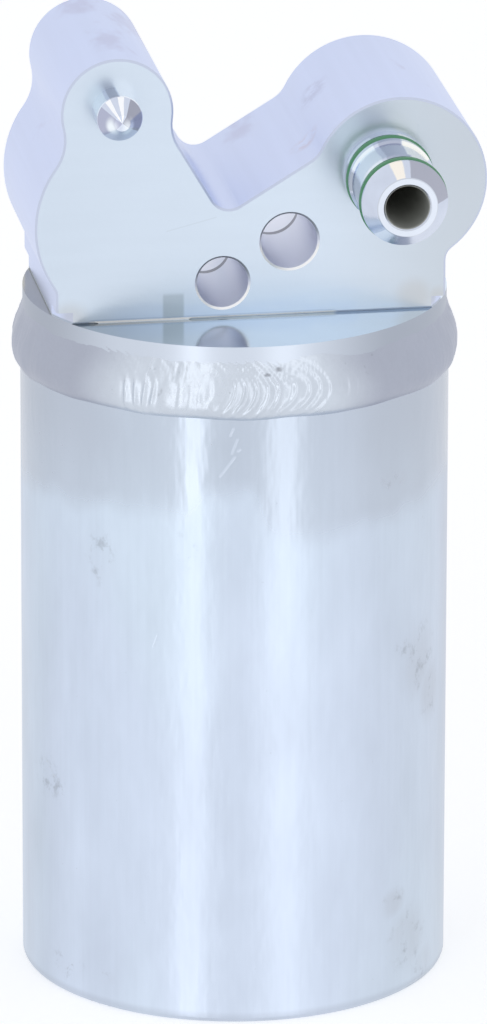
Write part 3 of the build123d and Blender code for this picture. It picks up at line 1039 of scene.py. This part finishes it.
# ---- stage -----------------------------------------------------------------------
# The camera: bearing left of the front, tilt and roll in radians, distance and
# the point looked at in metres, lens and sensor in mm.
CAMERA_BEARING = math.radians(9.24)
CAMERA_TILT = 0.32799
CAMERA_ROLL = 0.0024
CAMERA_DISTANCE = 1.70737
CAMERA_LENS = 364.3
CAMERA_SENSOR = 36
LOOK_AT = (0, 0, 0.060)
# That point stands off the middle of the frame, at this pixel.
PIXELS_PER_MM = 6.06986
FRAME_MIDDLE = (243.5, 512.0)
AXIS_PIXEL = (234.094, 606.531)
FLOOR_HALF = 6
FLOOR_WHITE = (0.85, 0.85, 0.85)
SKY_COLOR = (0.95, 0.965, 1.0)
# Upright strip lights: bearing from the front, width, the setting of their power.
STRIPS = {
    "left strip": (-30.8, 0.2, "left_power"),
    "right strip": (17.0, 0.34, "right_power"),
}
STRIP_HEIGHT = 2.2
STRIP_DISTANCE = 1.2
STRIP_MIDDLE = -0.1


def place_camera(scene):
    """Puts a long lens at its measured place."""
    flat = math.cos(CAMERA_TILT)
    sine, cosine = math.sin(CAMERA_BEARING), math.cos(CAMERA_BEARING)
    back = Vector((-sine * flat, -cosine * flat, math.sin(CAMERA_TILT)))
    right = Vector((cosine, -sine, 0))
    up = back.cross(right)
    aside = (FRAME_MIDDLE[0] - AXIS_PIXEL[0]) / PIXELS_PER_MM * MM
    above = (AXIS_PIXEL[1] - FRAME_MIDDLE[1]) / PIXELS_PER_MM * MM
    place = Vector(LOOK_AT) + back * CAMERA_DISTANCE + right * aside + up * above
    camera = bpy.data.objects.new("camera", bpy.data.cameras.new("camera"))
    camera.data.sensor_width = CAMERA_SENSOR
    camera.data.lens = CAMERA_LENS
    camera.data.clip_start = 0.01
    basis = Matrix((right, up, back)).transposed().to_4x4()
    roll = Matrix.Rotation(CAMERA_ROLL, 4, "Z")
    camera.matrix_world = Matrix.Translation(place) @ basis @ roll
    scene.collection.objects.link(camera)
    scene.camera = camera


def lay_floor(settings):
    """Lays a wide white floor that keeps the shadow."""
    bm = bmesh.new()
    bmesh.ops.create_grid(bm, x_segments=1, y_segments=1, size=FLOOR_HALF)
    floor = new_object("floor", bm)
    finish = Finish("floor white")
    camera_ray, glossy_ray, clear_ray = (
        finish.add("ShaderNodeLightPath", out=f"Is {ray} Ray")
        for ray in ("Camera", "Glossy", "Transmission")
    )
    seen = camera_ray.most(glossy_ray).most(clear_ray)
    material = finish.set(
        Base_Color=FLOOR_WHITE,
        Roughness=0.9,
        Emission_Color=finish.shade(WHITE, seen * settings.glow),
        Emission_Strength=1.0,
    )
    floor.data.materials.append(material)
    floor.visible_glossy = False
    floor.visible_shadow = False


def light_sky(scene, settings):
    """A soft sky, white where the camera or a reflection sees it."""
    world = bpy.data.worlds.new("studio")
    scene.world = world
    world.use_nodes = True
    tree = world.node_tree
    camera_ray, glossy_ray = (
        add_node(tree, "ShaderNodeLightPath", out=f"Is {ray} Ray")
        for ray in ("Camera", "Glossy")
    )
    seen = camera_ray.most(glossy_ray)
    backdrop = tree.nodes["Background"]
    plug(tree, backdrop.inputs["Color"], SKY_COLOR)
    strength = settings.sky + seen * (1.0 - settings.sky)
    plug(tree, backdrop.inputs["Strength"], strength)


def hang_strips(scene, settings):
    """Two strip lights that draw the can's upright highlights."""
    for name, (bearing, width, power) in STRIPS.items():
        light = bpy.data.lights.new(name, "AREA")
        light.shape = "RECTANGLE"
        light.size, light.size_y = width, STRIP_HEIGHT
        light.energy = getattr(settings, power)
        lamp = bpy.data.objects.new(name, light)
        angle = math.radians(bearing)
        spot = Vector((math.sin(angle), -math.cos(angle), 0.0)) * STRIP_DISTANCE
        aim = spot.to_track_quat("Z", "Y").to_matrix().to_4x4()
        spot.z = STRIP_MIDDLE
        lamp.matrix_world = Matrix.Translation(spot) @ aim
        scene.collection.objects.link(lamp)


# ---- operators -------------------------------------------------------------------
class DressCan(bpy.types.Operator):
    """Finish the can"""

    bl_idname = "drier.dress_can"
    bl_label = "Can"

    def execute(self, context):
        dress("can", can_finish(context.scene.drier_can))
        return {"FINISHED"}


class DressHead(bpy.types.Operator):
    """Finish the head"""

    bl_idname = "drier.dress_head"
    bl_label = "Head"

    def execute(self, context):
        dress("head", head_finish(context.scene.drier_head))
        return {"FINISHED"}


class MakeWeld(bpy.types.Operator):
    """Build the rippled weld between can and head"""

    bl_idname = "drier.make_weld"
    bl_label = "Weld"

    def execute(self, context):
        settings = context.scene.drier_weld
        material = weld_finish(settings)
        dress("weld_bead", material)
        ring = build_bead(settings)
        ring.data.materials.append(material)
        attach(ring, "root")
        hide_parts("weld_bead")
        return {"FINISHED"}


class DressFittings(bpy.types.Operator):
    """Finish the spigots, the locating pin and the seals"""

    bl_idname = "drier.dress_fittings"
    bl_label = "Spigots, pin and seals"

    def execute(self, context):
        settings = context.scene.drier_fittings
        rubber = rubber_finish(settings)
        for node in FITTINGS:
            dress(node, turned_finish(settings, node))
        for node in SEALS:
            dress(node, rubber)
        return {"FINISHED"}


class DressInside(bpy.types.Operator):
    """Finish the pieces inside the can"""

    bl_idname = "drier.dress_inside"
    bl_label = "Inner pieces"

    def execute(self, context):
        tube, plate, spring = (
            brushed_finish(*metal) for metal in (TUBE_METAL, PLATE_METAL, SPRING_METAL)
        )
        felt = felt_finish()
        finishes = {
            "pickup_tube": tube,
            "lower_plate": plate,
            "upper_plate": plate,
            "spring": spring,
            "lower_filter_pad": felt,
            "upper_filter_pad": felt,
            "desiccant": bead_bed_finish(),
            "strainer": strainer_finish(),
        }
        for node, material in finishes.items():
            dress(node, material)
        return {"FINISHED"}


class SetStage(bpy.types.Operator):
    """Set up the floor, the light and the camera"""

    bl_idname = "drier.set_stage"
    bl_label = "Stage"

    def execute(self, context):
        scene = context.scene
        settings = scene.drier_studio
        scene.view_settings.view_transform = "Standard"
        place_camera(scene)
        lay_floor(settings)
        light_sky(scene, settings)
        hang_strips(scene, settings)
        return {"FINISHED"}


# ---- panel and registration ------------------------------------------------------
OPERATORS = (DressCan, DressHead, MakeWeld, DressFittings, DressInside, SetStage)


class DrierPanel(bpy.types.Panel):
    """Sizes and colours of the drier, and the steps that make it"""

    bl_idname = "VIEW3D_PT_drier"
    bl_label = "Receiver drier"
    bl_space_type = "VIEW_3D"
    bl_region_type = "UI"
    bl_category = "Drier"

    def draw(self, context):
        for key, group in SETTINGS.items():
            box = self.layout.box()
            settings = getattr(context.scene, key)
            for name in group.__annotations__:
                box.prop(settings, name)
        for operator in OPERATORS:
            self.layout.operator(operator.bl_idname)


CLASSES = (*SETTINGS.values(), *OPERATORS, DrierPanel)


def register():
    for cls in CLASSES:
        bpy.utils.register_class(cls)
    for key, group in SETTINGS.items():
        setattr(bpy.types.Scene, key, PointerProperty(type=group))


def unregister():
    for key in SETTINGS:
        delattr(bpy.types.Scene, key)
    for cls in reversed(CLASSES):
        bpy.utils.unregister_class(cls)


def main():
    register()
    bpy.ops.drier.dress_can()
    bpy.ops.drier.dress_head()
    bpy.ops.drier.make_weld()
    bpy.ops.drier.dress_fittings()
    bpy.ops.drier.dress_inside()
    bpy.ops.drier.set_stage()


if __name__ == "__main__":
    main()
